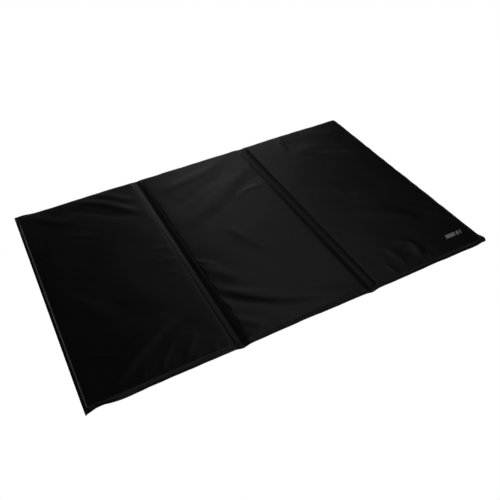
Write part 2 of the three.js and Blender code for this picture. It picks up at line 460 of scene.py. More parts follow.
@dataclass(frozen=True)
class CoverForm:
    """The shape of the cover as heights over the floor plan, for both of its sheets."""

    plan: MatPlan
    wrinkles: Wrinkles = field(default_factory=Wrinkles)
    curls: tuple[Curl, ...] = CURLS
    skirt: float = 4 * MM
    run: float = 9 * MM
    steepness: float = 3.0
    skirt_corner: float = 18 * MM
    flange: float = 15 * MM
    flange_corner: float = 12 * MM
    turned_edge: float = 1.6 * MM
    sheet: float = 0.8 * MM
    ply_gap: float = 0.06 * MM
    plateau_drop: float = 4.4 * MM
    crown: float = 0.7 * MM
    shoulder: float = 2.6 * MM
    shoulder_reach: float = 8 * MM
    floor_gap: float = 0.4 * MM
    web_sag: float = 4.5 * MM
    web_reach: float = 20 * MM
    edge_wave: float = 0.8 * MM
    droops: tuple[tuple[Edge, float], ...] = (
        (Edge.FRONT, 4.5 * MM),
        (Edge.BACK, 1.0 * MM),
        (Edge.LEFT, 1.5 * MM),
        (Edge.RIGHT, 2.0 * MM),
    )
    nose_drop: float = 9.0 * MM
    back_nose_drop: float = 4.0 * MM
    nose_spread: float = 21 * MM
    nose_start: float = 38 * MM
    nose_end: float = 2 * MM
    edge_wave_length: float = 0.11
    web_roundness: float = 0.012
    crown_reach: float = 0.25
    relief_start: float = 1 * MM
    relief_end: float = 16 * MM
    cap_gap: float = 0.2 * MM
    cap_knee: float = 1 * MM
    slack: float = 0.35 * MM
    slack_length: float = 0.16
    slack_start: float = 2 * MM
    slack_end: float = 40 * MM
    least_gap: float = 0.2 * MM
    slope_step: float = 0.2 * MM
    steepest_squared: float = 30

    def depth(self, x: Grid, y: Grid) -> Grid:
        """Distance inside the line where the sheets begin to rise over a panel's foam.

        That line is each foam slab's outline, grown by the skirt and rounded at its corners. The
        distance is positive over the foam, and negative over the flange and the webs.
        """
        best = np.full(np.shape(x), -np.inf)
        for panel in self.plan.panels:
            best = np.maximum(best, self.depth_in(panel, x, y))
        return best

    def depth_in(self, panel: Panel, x: Grid, y: Grid) -> Grid:
        """The same distance for one panel: a rounded rectangle's signed distance."""
        half_x = (panel.x1 - panel.x0) / 2 + self.skirt
        half_y = (panel.y1 - panel.y0) / 2 + self.skirt
        from_x, from_y = x - (panel.x0 + panel.x1) / 2, y - (panel.y0 + panel.y1) / 2
        return rounded_box_depth(from_x, from_y, half_x, half_y, self.skirt_corner)

    def edge_depth(self, x: Grid, y: Grid) -> Grid:
        """Distance inside the mat's outer outline."""
        return rounded_box_depth(x, y, self.plan.far_x, self.plan.far_y, self.flange_corner)

    def rise(self, depth: Grid) -> Grid:
        """Share of the full height: 1 minus (1 minus depth over run) to the steepness."""
        return 1 - (1 - np.clip(depth / self.run, 0, 1)) ** self.steepness

    def sway(self, x: Grid, y: Grid) -> Grid:
        """How far the flange and the webs' ends lift or droop from the middle plane.

        Every edge droops a little under its own weight. Each curl is a bell along its edge times
        the square of the distance out over the flange. Each web sags as a rounded V, and its ends
        droop towards the floor as a rounded nose, less at the back.
        """
        plan = self.plan
        out = {
            Edge.FRONT: (x, -y - plan.far_y + self.flange),
            Edge.BACK: (x, y - plan.far_y + self.flange),
            Edge.LEFT: (y, -x - plan.far_x + self.flange),
            Edge.RIGHT: (y, x - plan.far_x + self.flange),
        }
        total = np.zeros_like(x)
        for index, (edge, (along, beyond)) in enumerate(out.items()):
            share = np.clip(beyond / self.flange, 0, 1)
            wave = self.edge_wave * ripple(along, self.edge_wave_length, EDGE_SEED + index)
            total += (wave - dict(self.droops)[edge]) * share**1.5
        for curl in self.curls:
            along, beyond = out[curl.edge]
            share = np.clip(beyond / self.flange, 0, 1)
            bell = np.exp(-(((along - curl.at * MM) / (curl.spread * MM)) ** 2))
            total += curl.lift * MM * bell * share**2
        end = smoothstep(np.abs(y), plan.far_y - self.nose_start, plan.far_y - self.nose_end)
        for fold in plan.folds:
            across = (x - fold.x) / self.web_reach
            hollow = np.maximum(1 - np.sqrt(across**2 + self.web_roundness), 0)
            total -= self.web_sag * hollow * (1 - end)
            drop = np.where(y < 0, self.nose_drop, self.back_nose_drop)
            total -= drop * np.exp(-(((x - fold.x) / self.nose_spread) ** 2)) * end
        return total

    def ply(self, x: Grid, y: Grid) -> Grid:
        """Height of a ply's outer face over the middle plane, rounded down at the turned edge."""
        share = np.clip(self.edge_depth(x, y) / self.turned_edge, 0, 1)
        return self.ply_gap + self.sheet * np.sqrt(1 - (1 - share) ** 2)

    def top(self, x: Grid, y: Grid) -> Grid:
        """Outer face of the top sheet.

        It lies one ply over the middle plane on the flange and the webs, rises steeply over the
        foam's edges, eases off over a soft shoulder, and carries the wrinkles on the panels.
        """
        plan = self.plan
        depth = self.depth(x, y)
        rise = self.rise(depth)
        plateau = plan.top - self.plateau_drop + self.crown * smoothstep(depth, 0, self.crown_reach)
        plateau = plateau - self.shoulder * np.exp(-np.maximum(depth, 0) / self.shoulder_reach)
        relief = self.wrinkles.relief(x, y)
        for panel in plan.panels:
            inside = self.depth_in(panel, x, y) > 0
            relief = relief + np.where(inside, self.wrinkles.puckers(x, y, panel), 0)
        relief = relief * smoothstep(depth, self.relief_start, self.relief_end)
        limit, knee = plan.top - self.cap_gap, self.cap_knee
        low = (plan.middle + self.ply(x, y)) * (1 - rise) + self.sway(x, y) * (1 - rise)
        height = low + (plateau + relief) * rise
        return np.where(height > limit - knee, soft_cap(height, limit, knee), height)

    def bottom(self, x: Grid, y: Grid) -> Grid:
        """Outer face of the bottom sheet: one ply under the middle plane, and flat on the floor."""
        depth = self.depth(x, y)
        rise = self.rise(depth)
        slack = self.slack * (1 + undulation(x, y, self.slack_length, SLACK_SEED))
        slack = slack * smoothstep(depth, self.slack_start, self.slack_end)
        low = (self.plan.middle - self.ply(x, y) + self.sway(x, y)) * (1 - rise)
        return np.maximum(low + (self.floor_gap + np.maximum(slack, 0)) * rise, self.least_gap)

    def outer(self, side: Side, x: Grid, y: Grid) -> Grid:
        """Outer face of either sheet."""
        return self.top(x, y) if side is Side.TOP else self.bottom(x, y)

    def inner(self, side: Side, x: Grid, y: Grid) -> Grid:
        """Inner face: one sheet's thickness inside the outer face, measured square to it.

        Measured upright, that is the thickness times the square root of 1 plus the slope squared.
        It never crosses the middle plane, where the two plies meet.
        """
        step = self.slope_step
        outer = self.outer(side, x, y)
        slope_x = (self.outer(side, x + step, y) - outer) / step
        slope_y = (self.outer(side, x, y + step) - outer) / step
        upright = self.sheet * np.sqrt(1 + np.minimum(slope_x**2 + slope_y**2, self.steepest_squared))
        seam = self.plan.middle + self.sway(x, y) * (1 - self.rise(self.depth(x, y)))
        seam = seam + side.value * self.ply_gap / 2
        if side is Side.TOP:
            return np.maximum(outer - upright, seam)
        return np.minimum(outer + upright, np.maximum(seam, outer + self.ply_gap / 2))


def rounded_box_depth(x: Grid, y: Grid, half_x: float, half_y: float, radius: float) -> Grid:
    """Distance inside a rectangle with round corners, centred on the origin.

    Args:
        x: Places along the rectangle.
        y: Places across the rectangle.
        half_x: Half its length.
        half_y: Half its width.
        radius: Its corners' radius.

    Returns:
        Distances, positive inside.
    """
    beyond_x = np.abs(x) - half_x + radius
    beyond_y = np.abs(y) - half_y + radius
    corner = np.hypot(np.maximum(beyond_x, 0), np.maximum(beyond_y, 0))
    return radius - corner - np.minimum(np.maximum(beyond_x, beyond_y), 0)


def soft_cap(height: Grid, limit: float, knee: float) -> Grid:
    """Bend heights over so that they approach a limit: limit minus knee times e to the overrun."""
    return limit - knee * np.exp(-(height - (limit - knee)) / knee)


# ---- mesh making


def quad_object(
    name: str, points: Grid, quads: Grid, masks: dict[str, Grid] | None = None
) -> Piece:
    """A smooth-shaded mesh object made of four-sided faces.

    Args:
        name: The piece's name.
        points: Places, one per row.
        quads: Point numbers, four per row, anticlockwise from outside.
        masks: Named values, one per point, that its material reads.

    Returns:
        The object, at the origin of the row frame.
    """
    mesh = bpy.data.meshes.new(name)
    mesh.vertices.add(len(points))
    mesh.vertices.foreach_set("co", np.ascontiguousarray(points, np.float32).ravel())
    mesh.loops.add(quads.size)
    mesh.loops.foreach_set("vertex_index", np.ascontiguousarray(quads, np.int32).ravel())
    mesh.polygons.add(len(quads))
    mesh.polygons.foreach_set("loop_start", np.arange(0, quads.size, 4, dtype=np.int32))
    for mask, values in (masks or {}).items():
        attribute = mesh.attributes.new(mask, "FLOAT", "POINT")
        attribute.data.foreach_set("value", np.ascontiguousarray(values, np.float32).ravel())
    mesh.update(calc_edges=True)
    mesh.validate()
    mesh.shade_smooth()
    piece = bpy.data.objects.new(name, mesh)
    bpy.context.scene.collection.objects.link(piece)
    return piece


def shell(
    name: str, x: Grid, y: Grid, upper: Grid, lower: Grid, masks: dict[str, Grid] | None = None
) -> Piece:
    """A closed slab between two height grids over the same plan.

    The upper grid faces up, the lower one faces down, and a band of faces joins their borders.

    Args:
        name: The piece's name.
        x: Places along the mat, rows of the grid along x.
        y: Places across the mat.
        upper: Heights of the upper face.
        lower: Heights of the lower face.
        masks: Named values on the grid that the material reads.

    Returns:
        The closed piece.
    """
    rows, columns = x.shape
    number = np.arange(rows * columns).reshape(rows, columns)
    a, b, c, d = number[:-1, :-1], number[1:, :-1], number[1:, 1:], number[:-1, 1:]
    faces = np.stack([a, b, c, d], -1).reshape(-1, 4)
    under = faces[:, ::-1] + rows * columns
    border = np.concatenate([number[:, 0], number[-1, 1:], number[-2::-1, -1], number[0, -2:0:-1]])
    following = np.roll(border, -1)
    band = np.stack([border, border + rows * columns, following + rows * columns, following], -1)
    points = np.concatenate(
        [np.stack([x, y, upper], -1).reshape(-1, 3), np.stack([x, y, lower], -1).reshape(-1, 3)]
    )
    doubled = {mask: np.tile(values.ravel(), 2) for mask, values in (masks or {}).items()}
    piece = quad_object(name, points, np.concatenate([faces, under, band]), doubled)
    crease_ends(piece, np.concatenate([number[0], number[-1]]), rows * columns)
    return piece


def dress(piece: Piece, material: Material, node: str) -> None:
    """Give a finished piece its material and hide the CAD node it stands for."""
    piece.data.materials.append(material)
    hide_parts(node)


def crease_ends(piece: Piece, ends: Grid, layer: int) -> None:
    """Keep the shading of a slab's faces apart from that of its two end bands.

    An edge is creased when both of its points lie on the first or the last row of one layer.

    Args:
        piece: The slab.
        ends: Point numbers of the first and the last row of its upper layer.
        layer: How many points a layer has.
    """
    mesh = piece.data
    pairs = np.empty(len(mesh.edges) * 2, np.int32)
    mesh.edges.foreach_get("vertices", pairs)
    pairs = pairs.reshape(-1, 2)
    on_end = np.isin(pairs % layer, ends).all(1) & (pairs[:, 0] // layer == pairs[:, 1] // layer)
    sharp = mesh.attributes.new("sharp_edge", "BOOLEAN", "EDGE")
    sharp.data.foreach_set("value", on_end)


def surface_length(x: Grid, y: Grid, z: Grid) -> tuple[float, float]:
    """Lengths measured over the middle row and the middle column of a surface grid."""
    points = np.stack([x, y, z], -1)
    along = points[:, points.shape[1] // 2]
    across = points[points.shape[0] // 2]
    return tuple(float(np.linalg.norm(np.diff(line, axis=0), axis=1).sum()) for line in (along, across))


# ---- shader groups


def new_group(
    name: str, inputs: dict[str, float], outputs: tuple[str, ...]
) -> tuple[Tree, Node, Node]:
    """An empty shader group with float inputs and outputs.

    Args:
        name: The group's name.
        inputs: Each input's name and first value.
        outputs: The outputs' names.

    Returns:
        The group, its input node and its output node.
    """
    group = bpy.data.node_groups.new(name, "ShaderNodeTree")
    for label, value in inputs.items():
        socket = group.interface.new_socket(label, in_out="INPUT", socket_type="NodeSocketFloat")
        socket.default_value = value
    for label in outputs:
        group.interface.new_socket(label, in_out="OUTPUT", socket_type="NodeSocketFloat")
    return group, group.nodes.new("NodeGroupInput"), group.nodes.new("NodeGroupOutput")


def add_node(tree: Tree, kind: str, settings: dict | None = None, **values: float) -> Node:
    """Add a node.

    Args:
        tree: Where it goes.
        kind: Its Blender type.
        settings: Properties to set on it.
        values: Input names, with _ for a space, and their values.

    Returns:
        The node.
    """
    node = tree.nodes.new(kind)
    for key, value in (settings or {}).items():
        setattr(node, key, value)
    for key, value in values.items():
        node.inputs[key.replace("_", " ")].default_value = value
    return node


def calculate(tree: Tree, operation: str, *sources: Socket | float) -> Socket:
    """The result of a Math node on sockets or numbers."""
    node = add_node(tree, "ShaderNodeMath", {"operation": operation})
    for slot, source in zip(node.inputs, sources):
        if isinstance(source, Socket):
            tree.links.new(source, slot)
        else:
            slot.default_value = source
    return node.outputs[0]


def remap(
    tree: Tree, source: Socket, low: float, high: float, to_low: float, to_high: float
) -> Socket:
    """A clamped Map Range from low..high to to_low..to_high."""
    limits = {"From_Min": low, "From_Max": high, "To_Min": to_low, "To_Max": to_high}
    node = add_node(tree, "ShaderNodeMapRange", None, **limits)
    tree.links.new(source, node.inputs["Value"])
    return node.outputs["Result"]


def pebble_grain_group() -> Tree:
    """Embossed grain of coated fabric.

    Small rounded cells with soft valleys between them, broken up by a finer noise. Scale is in
    cells per metre.

    Returns:
        The group, with Height and Valley outputs.
    """
    group, inlet, outlet = new_group("pebble_grain", {"Scale": 900.0}, ("Height", "Valley"))
    place = add_node(group, "ShaderNodeTexCoord")
    cells = add_node(group, "ShaderNodeTexVoronoi", {"feature": "SMOOTH_F1"}, Smoothness=0.6)
    fine = add_node(group, "ShaderNodeTexNoise", None, Detail=3.0, Roughness=0.6)
    group.links.new(place.outputs["Object"], cells.inputs["Vector"])
    group.links.new(place.outputs["Object"], fine.inputs["Vector"])
    group.links.new(inlet.outputs["Scale"], cells.inputs["Scale"])
    group.links.new(calculate(group, "MULTIPLY", inlet.outputs["Scale"], 2.3), fine.inputs["Scale"])
    valley = remap(group, cells.outputs["Distance"], 0.25, 0.65, 0.0, 1.0)
    dome = calculate(group, "SUBTRACT", 1.0, valley)
    rough = calculate(group, "MULTIPLY", fine.outputs["Fac"], 0.3)
    group.links.new(calculate(group, "ADD", dome, rough), outlet.inputs["Height"])
    group.links.new(valley, outlet.inputs["Valley"])
    return group


def handling_wear_group() -> Tree:
    """Marks of use, slow blotches and fine directional scuffs, and a rim mask that lightens rims as wear
    and as a painted highlight.

    Returns:
        The group, with Blotch and Scuff outputs and a rim output for wear and a painted highlight, all
        from 0 to 1.
    """
    inputs = {"Blotch Scale": 5.0, "Scuff Scale": 60.0, "Rim": 0.0}
    group, inlet, outlet = new_group("handling_wear", inputs, ("Blotch", "Scuff", "Rub"))
    place = add_node(group, "ShaderNodeTexCoord")
    blotch = add_node(group, "ShaderNodeTexNoise", None, Detail=4.0, Roughness=0.55)
    stretch = add_node(group, "ShaderNodeMapping")
    stretch.inputs["Scale"].default_value = (1.0, 0.16, 1.0)
    stretch.inputs["Rotation"].default_value = (0.0, 0.0, math.radians(34))
    scuff = add_node(group, "ShaderNodeTexNoise", None, Detail=5.0, Roughness=0.7, Distortion=0.4)
    group.links.new(place.outputs["Object"], blotch.inputs["Vector"])
    group.links.new(place.outputs["Object"], stretch.inputs["Vector"])
    group.links.new(stretch.outputs["Vector"], scuff.inputs["Vector"])
    group.links.new(inlet.outputs["Blotch Scale"], blotch.inputs["Scale"])
    group.links.new(inlet.outputs["Scuff Scale"], scuff.inputs["Scale"])
    scratches = remap(group, scuff.outputs["Fac"], 0.56, 0.74, 0.0, 1.0)
    group.links.new(remap(group, blotch.outputs["Fac"], 0.32, 0.68, 0.0, 1.0), outlet.inputs["Blotch"])
    group.links.new(scratches, outlet.inputs["Scuff"])
    # Rim output: the rim mask broken up by the blotches, for worn rims and a painted highlight.
    broken = remap(group, blotch.outputs["Fac"], 0.35, 0.6, 0.4, 1.0)
    group.links.new(calculate(group, "MULTIPLY", inlet.outputs["Rim"], broken), outlet.inputs["Rub"])
    return group


def place_group(tree: Tree, group: Tree, **values: float) -> Node:
    """Put a shared group in a material, with that material's own values."""
    node = tree.nodes.new("ShaderNodeGroup")
    node.node_tree = group
    for key, value in values.items():
        node.inputs[key.replace("_", " ")].default_value = value
    return node


# ---- finishes


@dataclass(frozen=True)
class SharedEffects:
    """The shader groups that several finishes use."""

    grain: Tree
    wear: Tree


def start_material(name: str, roughness: float) -> tuple[Material, Tree, Node]:
    """A new material with its Principled shader.

    Args:
        name: The material's name.
        roughness: The shader's plain roughness.

    Returns:
        The material, its node tree and its shader node.
    """
    material = bpy.data.materials.new(name)
    material.use_nodes = True
    tree = material.node_tree
    shader = tree.nodes["Principled BSDF"]
    shader.inputs["Roughness"].default_value = roughness
    return material, tree, shader


def mix_colors(tree: Tree, share: Socket, first: tuple, second: tuple) -> Socket:
    """A Mix node between two linear colours."""
    node = add_node(tree, "ShaderNodeMix", {"data_type": "RGBA"})
    node.inputs[6].default_value = (*first, 1.0)
    node.inputs[7].default_value = (*second, 1.0)
    tree.links.new(share, node.inputs[0])
    return node.outputs[2]


def feed(shader: Node, label: str, source: Socket) -> None:
    """Link a socket to one of the shader's inputs."""
    shader.id_data.links.new(source, shader.inputs[label])


def bump(tree: Tree, shader: Node, height: Socket, depth: float, strength: float) -> None:
    """Send a height to the shader's normal through a Bump node."""
    node = add_node(tree, "ShaderNodeBump", None, Strength=strength, Distance=depth)
    tree.links.new(height, node.inputs["Height"])
    feed(shader, "Normal", node.outputs["Normal"])


@dataclass(frozen=True)
class CoatedFabric:
    """Smooth black coated fabric with a fine embossed grain, lighter along its rims: partly wear, partly
    a painted highlight.
    """

    effects: SharedEffects
    base: Colour = (0.0040, 0.0040, 0.0046)
    worn: Colour = (0.0062, 0.0062, 0.0068)
    # Lighter rim colour: partly worn fabric, partly a painted highlight along the rims.
    rubbed: Colour = (0.016, 0.016, 0.017)
    roughness: float = 0.36
    grain_scale: float = 850.0
    grain_depth: float = 0.05 * MM

    def build(self) -> Material:
        """Make the material.

        Returns:
            The material for all of the cover's pieces.
        """
        material, tree, shader = start_material("cover_coated_fabric", self.roughness)
        rim = add_node(tree, "ShaderNodeAttribute", {"attribute_name": "rim"})
        wear = place_group(tree, self.effects.wear, Blotch_Scale=4.5, Scuff_Scale=46.0)
        tree.links.new(rim.outputs["Fac"], wear.inputs["Rim"])
        grain = place_group(tree, self.effects.grain, Scale=self.grain_scale)
        cloth = mix_colors(tree, wear.outputs["Blotch"], self.base, self.worn)
        # Mix the rims towards the lighter colour: partly wear, partly a painted highlight.
        tint = add_node(tree, "ShaderNodeMix", {"data_type": "RGBA"})
        tint.inputs[7].default_value = (*self.rubbed, 1.0)
        tree.links.new(cloth, tint.inputs[6])
        tree.links.new(calculate(tree, "MULTIPLY", wear.outputs["Rub"], 0.7), tint.inputs[0])
        feed(shader, "Base Color", tint.outputs[2])
        least, most = self.roughness - 0.03, self.roughness + 0.04
        patchy = remap(tree, wear.outputs["Blotch"], 0.0, 1.0, least, most)
        scuffed = calculate(tree, "MULTIPLY_ADD", wear.outputs["Scuff"], 0.05, patchy)
        valleys = calculate(tree, "MULTIPLY_ADD", grain.outputs["Valley"], 0.05, scuffed)
        feed(shader, "Roughness", valleys)
        bump(tree, shader, grain.outputs["Height"], self.grain_depth, 0.35)
        return material


@dataclass(frozen=True)
class FoamFinish:
    """Pale open-cell foam with visible pores and slight yellowing."""

    effects: SharedEffects
    fresh: Colour = (0.62, 0.60, 0.52)
    aged: Colour = (0.52, 0.46, 0.32)

    def build(self) -> Material:
        """Make the foam's material."""
        material, tree, shader = start_material("foam_open_cell", 0.95)
        wear = place_group(tree, self.effects.wear, Blotch_Scale=9.0, Scuff_Scale=30.0)
        pores = place_group(tree, self.effects.grain, Scale=620.0)
        feed(shader, "Base Color", mix_colors(tree, wear.outputs["Blotch"], self.fresh, self.aged))
        feed(shader, "Roughness", remap(tree, pores.outputs["Valley"], 0.0, 1.0, 0.88, 1.0))
        bump(tree, shader, pores.outputs["Height"], 0.5 * MM, 0.8)
        return material


@dataclass(frozen=True)
class ThreadFinish:
    """Black bonded polyester thread: a tight twist with a dull sheen."""

    effects: SharedEffects
    dark: Colour = (0.006, 0.006, 0.007)
    light: Colour = (0.022, 0.022, 0.024)

    def build(self) -> Material:
        """Make the thread's material."""
        material, tree, shader = start_material("thread_black_polyester", 0.6)
        place = add_node(tree, "ShaderNodeTexCoord")
        bands = {"wave_type": "BANDS", "bands_direction": "DIAGONAL"}
        twist = add_node(tree, "ShaderNodeTexWave", bands, Scale=900.0, Distortion=1.5)
        tree.links.new(place.outputs["Object"], twist.inputs["Vector"])
        feed(shader, "Base Color", mix_colors(tree, twist.outputs["Fac"], self.dark, self.light))
        wear = place_group(tree, self.effects.wear, Blotch_Scale=30.0, Scuff_Scale=300.0)
        feed(shader, "Roughness", remap(tree, wear.outputs["Scuff"], 0.0, 1.0, 0.5, 0.7))
        bump(tree, shader, twist.outputs["Fac"], 0.08 * MM, 0.6)
        return material


@dataclass(frozen=True)
class PrintFinish:
    """Off-white screen print that takes the fabric's grain and is a little worn."""

    effects: SharedEffects
    ink: Colour = (0.62, 0.62, 0.64)
    thin: Colour = (0.36, 0.36, 0.38)

    def build(self) -> Material:
        """Make the print's material."""
        material, tree, shader = start_material("print_off_white", 0.5)
        wear = place_group(tree, self.effects.wear, Blotch_Scale=60.0, Scuff_Scale=160.0)
        grain = place_group(tree, self.effects.grain, Scale=850.0)
        feed(shader, "Base Color", mix_colors(tree, wear.outputs["Scuff"], self.ink, self.thin))
        feed(shader, "Roughness", remap(tree, wear.outputs["Blotch"], 0.0, 1.0, 0.42, 0.58))
        bump(tree, shader, grain.outputs["Height"], 0.04 * MM, 0.3)
        return material


# ---- the pieces


def corner_round(
    x: Grid, y: Grid, plan: MatPlan, radius: float, share: dict[tuple[int, int], float]
) -> tuple[Grid, Grid]:
    """Round the grid's outer corners.

    In the square of side radius at each corner, the place (p, q) goes to
    (p root(1 - q squared / 2), q root(1 - p squared / 2)), which turns the square into a quarter
    disc. The share says how much of that move a corner takes.

    Args:
        x: Places along the mat.
        y: Places across the mat.
        plan: The mat's edges.
        radius: Size of the corner square.
        share: The move's share by the corner's signs along x and y.

    Returns:
        The moved places.
    """
    p = np.clip((np.abs(x) - plan.far_x + radius) / radius, 0, None)
    q = np.clip((np.abs(y) - plan.far_y + radius) / radius, 0, None)
    amount = np.zeros_like(x)
    for (side_x, side_y), value in share.items():
        amount = np.where((np.sign(x) == side_x) & (np.sign(y) == side_y), value, amount)
    corner = (p > 0) & (q > 0)
    shrink_x = np.where(corner, p * (np.sqrt(1 - np.minimum(q, 1) ** 2 / 2) - 1), 0) * amount * radius
    shrink_y = np.where(corner, q * (np.sqrt(1 - np.minimum(p, 1) ** 2 / 2) - 1), 0) * amount * radius
    return x + np.sign(x) * shrink_x, y + np.sign(y) * shrink_y


@dataclass(frozen=True)
class Cover:
    """The sewn cover: a top and a bottom sheet on each panel, and the two plies of each web."""

    plan: MatPlan
    form: CoverForm
    fine: float = 1.5 * MM
    coarse: float = 7.0 * MM
    band: float = 22 * MM
    web_step: float = 1.4 * MM
    # Where the rims are made lighter, as wear and as a painted highlight.
    rim_crest_depth: float = 6 * MM
    rim_crest_spread: float = 3.5 * MM
    border_reach: float = 1.2 * MM
    border_share: float = 0.8
    blend_end: float = 11.0 * MM
    corner_shares: dict[tuple[int, int], float] = field(
        default_factory=lambda: {(-1, -1): 0.25, (1, -1): 1.0, (-1, 1): 0.7, (1, 1): 0.7}
    )

    def lines_across(self) -> Grid:
        """Grid lines across the mat, the same for every piece so that their borders match."""
        return graded(-self.plan.far_y, self.plan.far_y, self.fine, self.coarse, self.band)

    def rims(self, x: Grid, y: Grid) -> Grid:
        """Mask of the lighter rims, partly wear where hands and floors touch and partly a painted
        highlight: the turn over the foam's edge and the flange's edge.
        """
        depth = self.form.depth(x, y)
        crest = np.exp(-(((depth - self.rim_crest_depth) / self.rim_crest_spread) ** 2))
        border = np.exp(-((self.form.edge_depth(x, y) / self.border_reach) ** 2))
        return np.clip(crest + self.border_share * border, 0, 1)

    def sheet_piece(self, name: str, lines: Grid, side: Side) -> tuple[Piece, tuple[float, float]]:
        """One piece of either sheet over a stretch of the mat.

        Args:
            name: The piece's name.
            lines: Its grid lines along the mat.
            side: Which sheet it belongs to.

        Returns:
            The piece, and its flat size along and across the mat.
        """
        x, y = np.meshgrid(lines, self.lines_across(), indexing="ij")
        x, y = corner_round(x, y, self.plan, self.form.flange_corner, self.corner_shares)
        outer, inner = self.form.outer(side, x, y), self.form.inner(side, x, y)
        upper, lower = (outer, inner) if side is Side.TOP else (inner, outer)
        piece = shell(name, x, y, upper, lower, {"rim": self.rims(x, y)})
        return piece, surface_length(x, y, outer)

    def build(self, material: Material) -> None:
        """Build and dress every sheet and web piece."""
        for side in Side:
            for panel in self.plan.panels:
                self.build_panel_sheet(panel, side, material)
            for fold in self.plan.folds:
                self.build_web(fold, side, material)

    def build_panel_sheet(self, panel: Panel, side: Side, material: Material) -> None:
        """One panel's share of a sheet, with its ply of the flange."""
        node = f"{side.word}_cover_{panel.number}"
        lines = graded(panel.cover_x0, panel.cover_x1, self.fine, self.coarse, self.band)
        piece, flat = self.sheet_piece(f"{side.word}_sheet_{panel.number}", lines, side)
        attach(piece, panel.body)
        dress(piece, material, node)
        log.info("%s: flat size %.3f by %.3f m", piece.name, *flat)

    def build_web(self, fold: Fold, side: Side, material: Material) -> None:
        """Both halves of one ply of a fold web, each as its own piece."""
        node = f"{side.word}_fold_web_{fold.number}"
        reach = fold.x - self.plan.panels[fold.number - 1].cover_x1
        steps = max(int(round(reach / self.web_step)), 4)
        for half, sign, body in (("left", -1, fold.left), ("right", 1, fold.right)):
            ends = sorted((fold.x + sign * reach, fold.x))
            name = f"{side.word}_web_{fold.number}_{half}"
            piece, flat = self.sheet_piece(name, np.linspace(*ends, steps + 1), side)
            bend_over_hinge(piece)
            dress(piece, material, node)
            log.info("%s: flat size %.3f by %.3f m", piece.name, *flat)


def bend_over_hinge(
    piece: Piece
) -> None:
    """Bake the piece's place into its mesh; it is not bent and follows no body.

    Args:
        piece: A finished piece.
    """
    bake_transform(piece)


@dataclass(frozen=True)
class FoamSlab:
    """A foam slab inside the cover. Its faces follow the sheets where those press on it."""

    plan: MatPlan
    form: CoverForm
    inset: float = 1.5 * MM
    clearance: float = 0.45 * MM
    edge_spacing: float = 2 * MM
    spacing: float = 12 * MM
    edge_band: float = 14 * MM
    thinnest: float = 1 * MM

    def build(self, panel: Panel, material: Material) -> Piece:
        """Build one slab.

        Its top is the lower of a flat plane and the sheet's inner face, less a clearance, and its
        bottom is the same from below.

        Args:
            panel: The panel that it fills.
            material: The foam's material.

        Returns:
            The slab.
        """
        lines = [
            graded(low + self.inset, high - self.inset, self.edge_spacing, self.spacing, self.edge_band)
            for low, high in ((panel.x0, panel.x1), (panel.y0, panel.y1))
        ]
        x, y = np.meshgrid(*lines, indexing="ij")
        flat = self.plan.top - self.form.plateau_drop - self.form.sheet
        under_sheet = self.form.inner(Side.TOP, x, y)
        upper = np.minimum(flat, under_sheet) - self.clearance
        lower = self.form.inner(Side.BOTTOM, x, y) + self.clearance
        upper = np.maximum(upper, self.plan.middle)
        lower = np.minimum(lower, self.plan.middle - self.thinnest)
        slab = shell(f"foam_slab_{panel.number}", x, y, upper, lower)
        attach(slab, panel.body)
        dress(slab, material, f"foam_core_{panel.number}")
        return slab


@dataclass(frozen=True)
class Stitching:
    """Rows of lock stitches laid on the cover's plies."""

    form: CoverForm
    pitch: float = 5.6 * MM
    length: float = 4.4 * MM
    radius: float = 0.42 * MM
    rings: int = 6
    corner: float = 14 * MM
    arch: float = 0.9
    sink: float = 0.35
    taper: float = 0.93

    def row(self, name: str, corners: Grid, side: Side) -> Piece:
        """Lay stitches along a line of corners.

        Each stitch is a short strand of square section with its ends sunk in the fabric: its
        centre line follows the surface, lifted by a sine arch, and its radius is a flattened
        ellipse along it.

        Args:
            name: The row's name.
            corners: Places along and across the mat, one per row.
            side: The needle thread lies on top, and the bobbin thread underneath.

        Returns:
            The row as one piece.
        """
        path = round_corners(corners, self.corner)
        length = np.linalg.norm(np.diff(path, axis=0), axis=1)
        gone = np.concatenate([[0], np.cumsum(length)])
        count = int((gone[-1] - self.length) // self.pitch)
        first = (gone[-1] - (count - 1) * self.pitch - self.length) / 2
        share = np.linspace(0, 1, self.rings)
        at = first + np.arange(count)[:, None] * self.pitch + share * self.length
        x, y = np.interp(at, gone, path[:, 0]), np.interp(at, gone, path[:, 1])
        surface = self.form.outer(side, x, y)
        lift = self.radius * (self.arch * np.sin(math.pi * share) - self.sink)
        z = surface + side.value * lift
        centre = np.stack([x, y, z], -1)
        tangent = np.gradient(centre, axis=1)
        tangent /= np.linalg.norm(tangent, axis=-1, keepdims=True)
        across = np.stack([-tangent[..., 1], tangent[..., 0], np.zeros_like(x)], -1)
        across /= np.linalg.norm(across, axis=-1, keepdims=True)
        up = np.cross(tangent, across)
        width = self.radius * np.sqrt(1 - self.taper * (2 * share - 1) ** 4)[:, None]
        ring = [centre + width * (a * across + b * up) for a, b in ((1, 0), (0, 1), (-1, 0), (0, -1))]
        points = np.stack(ring, 2).reshape(-1, 3)
        return quad_object(name, points, self.strand_faces(count))

    def strand_faces(self, count: int) -> Grid:
        """Faces of all strands: the four sides between neighbouring rings, and the two ends."""
        number = np.arange(count * self.rings * 4).reshape(count, self.rings, 4)
        near, far = number[:, :-1], number[:, 1:]
        sides = np.stack([near, np.roll(near, -1, 2), np.roll(far, -1, 2), far], -1).reshape(-1, 4)
        return np.concatenate([sides, number[:, 0, ::-1], number[:, -1]])


def round_corners(corners: Grid, radius: float) -> Grid:
    """A line through corners, with each inner corner replaced by a quadratic curve."""
    line = [corners[:1]]
    for before, corner, after in zip(corners, corners[1:], corners[2:]):
        into = corner + radius * (before - corner) / np.linalg.norm(before - corner)
        out = corner + radius * (after - corner) / np.linalg.norm(after - corner)
        t = np.linspace(0, 1, 9)[:, None]
        line.append((1 - t) ** 2 * into + 2 * t * (1 - t) * corner + t**2 * out)
    return np.vstack([*line, corners[-1:]])


